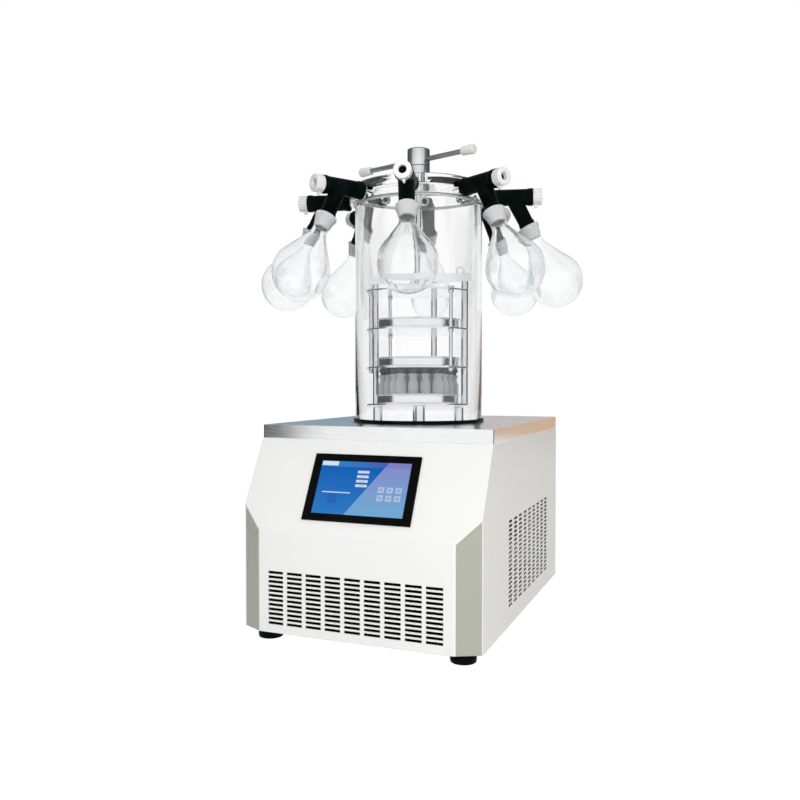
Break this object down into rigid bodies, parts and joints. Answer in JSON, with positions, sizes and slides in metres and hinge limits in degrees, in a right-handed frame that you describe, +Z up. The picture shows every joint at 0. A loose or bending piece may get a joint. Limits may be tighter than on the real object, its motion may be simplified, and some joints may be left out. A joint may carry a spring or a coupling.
{
  "type": "benchtop freeze dryer",
  "caption": "Benchtop freeze dryer: a painted cabinet with a touch screen and vents carries a clear drying chamber with valve ports, pear flasks and a screw press over shelves and vials.",
  "frame": {"origin": "on the drying chamber's axis at floor level, the middle of the bounding box's bottom", "axes": "+Z up, -Y toward the operator and the touch screen, +X to the operator's right"},
  "size_m": [0.6472, 0.6461, 0.9423],
  "materials": {
    "white_paint": "satin",
    "grey_paint": "satin",
    "tray_steel": "satin",
    "stainless": "brushed",
    "chrome": "polished",
    "rod_steel": "turned",
    "black_rubber": "matte",
    "white_silicone": "matte",
    "stopper_rubber": "matte",
    "clear_acrylic": "clear",
    "flask_glass": "clear",
    "white_plastic": "gloss",
    "black_plastic": "satin",
    "screen_pane": "gloss",
    "foam": "matte",
    "black_steel": "satin",
    "fin_aluminium": "plain",
    "valve_brass": "plain",
    "lever_steel": "gloss"
  },
  "bodies": {
    "frame": {"baffle_plate": "stainless", "base_gasket": "black_rubber", "base_tray": "tray_steel", "cold_trap": "stainless", "compressor": "black_steel", "condenser": "fin_aluminium", "corner_panels": "grey_paint", "drain_pipe": "valve_brass", "drying_chamber": "clear_acrylic", "fan_motor": "black_steel", "fan_shroud": "tray_steel", "feet": "black_rubber", "flask_1": "flask_glass", "flask_2": "flask_glass", "flask_3": "flask_glass", "flask_4": "flask_glass", "flask_5": "flask_glass", "flask_6": "flask_glass", "flask_7": "flask_glass", "flask_8": "flask_glass", "flask_adapters": "flask_glass", "front_panel": "white_paint", "lid_gasket": "white_silicone", "manifold_lid": "clear_acrylic", "port_stubs": "stainless", "power_inlet": "black_plastic", "press_gland": "chrome", "rack_base": "stainless", "rack_feet": "stainless", "rack_posts": "stainless", "rack_yoke": "stainless", "rear_panel": "white_paint", "screen_bezel": "black_plastic", "screen_glass": "screen_pane", "side_panel_left": "white_paint", "side_panel_right": "white_paint", "top_plate": "stainless", "trap_insulation": "foam", "valve_bodies": "black_rubber", "vial_tray": "stainless", "vials": "flask_glass"},
    "valve_knob_1": {"valve_knob_1": "white_plastic"},
    "valve_knob_2": {"valve_knob_2": "white_plastic"},
    "valve_knob_3": {"valve_knob_3": "white_plastic"},
    "valve_knob_4": {"valve_knob_4": "white_plastic"},
    "valve_knob_5": {"valve_knob_5": "white_plastic"},
    "valve_knob_6": {"valve_knob_6": "white_plastic"},
    "valve_knob_7": {"valve_knob_7": "white_plastic"},
    "valve_knob_8": {"valve_knob_8": "white_plastic"},
    "fan_rotor": {"fan_rotor": "black_plastic"},
    "drain_lever": {"drain_lever": "lever_steel"},
    "power_rocker": {"power_switch": "black_plastic"},
    "press_handle": {"press_hub": "chrome", "press_bar": "rod_steel", "bar_caps": "white_plastic"},
    "shelf_stack": {"shelf_plates": "stainless", "hanger_rods": "stainless", "bulk_trays": "stainless", "press_rod": "rod_steel"},
    "stoppers": {"stoppers": "stopper_rubber"}
  },
  "joints": [
    {"name": "valve_turn_1", "type": "hinge", "parent": "frame", "child": "valve_knob_1", "pos_m": [0, 0, 0.839], "axis": [0.2419, -0.9703, 0], "range_deg": [0, 180]},
    {"name": "valve_turn_2", "type": "hinge", "parent": "frame", "child": "valve_knob_2", "pos_m": [0, 0, 0.839], "axis": [0.8572, -0.515, 0], "range_deg": [0, 180]},
    {"name": "valve_turn_3", "type": "hinge", "parent": "frame", "child": "valve_knob_3", "pos_m": [0, 0, 0.839], "axis": [0.9703, 0.2419, 0], "range_deg": [0, 180]},
    {"name": "valve_turn_4", "type": "hinge", "parent": "frame", "child": "valve_knob_4", "pos_m": [0, 0, 0.839], "axis": [0.515, 0.8572, 0], "range_deg": [0, 180]},
    {"name": "valve_turn_5", "type": "hinge", "parent": "frame", "child": "valve_knob_5", "pos_m": [0, 0, 0.839], "axis": [-0.2419, 0.9703, 0], "range_deg": [0, 180]},
    {"name": "valve_turn_6", "type": "hinge", "parent": "frame", "child": "valve_knob_6", "pos_m": [0, 0, 0.839], "axis": [-0.8572, 0.515, 0], "range_deg": [0, 180]},
    {"name": "valve_turn_7", "type": "hinge", "parent": "frame", "child": "valve_knob_7", "pos_m": [0, 0, 0.839], "axis": [-0.9703, -0.2419, 0], "range_deg": [0, 180]},
    {"name": "valve_turn_8", "type": "hinge", "parent": "frame", "child": "valve_knob_8", "pos_m": [0, 0, 0.839], "axis": [-0.515, -0.8572, 0], "range_deg": [0, 180]},
    {"name": "fan_spin", "type": "hinge", "parent": "frame", "child": "fan_rotor", "pos_m": [0, -0.3225, 0.098], "axis": [0, 1, 0], "continuous": true},
    {"name": "drain_turn", "type": "hinge", "parent": "frame", "child": "drain_lever", "pos_m": [-0.255, -0.06, 0.041], "axis": [0, 0, 1], "range_deg": [0, 90]},
    {"name": "switch_rock", "type": "hinge", "parent": "frame", "child": "power_rocker", "pos_m": [0.12, 0.3075, 0.1425], "axis": [1, 0, 0], "range_deg": [-16, 0]},
    {"name": "press_turn", "type": "hinge", "parent": "frame", "child": "press_handle", "pos_m": [0, 0, 0.9203], "axis": [0, 0, -1], "range_deg": [0, 522]},
    {"name": "shelf_press", "type": "slide", "parent": "frame", "child": "shelf_stack", "axis": [0, 0, -1], "range_m": [0, 0.00581]},
    {"name": "stopper_press", "type": "slide", "parent": "frame", "child": "stoppers", "axis": [0, 0, -1], "range_m": [0, 0.00581]}
  ],
  "couplings": [
    {"joint": "shelf_press", "follows": "press_turn", "m_per_rad": 0.00063662},
    {"joint": "stopper_press", "follows": "press_turn", "m_per_rad": 0.00063662}
  ]
}
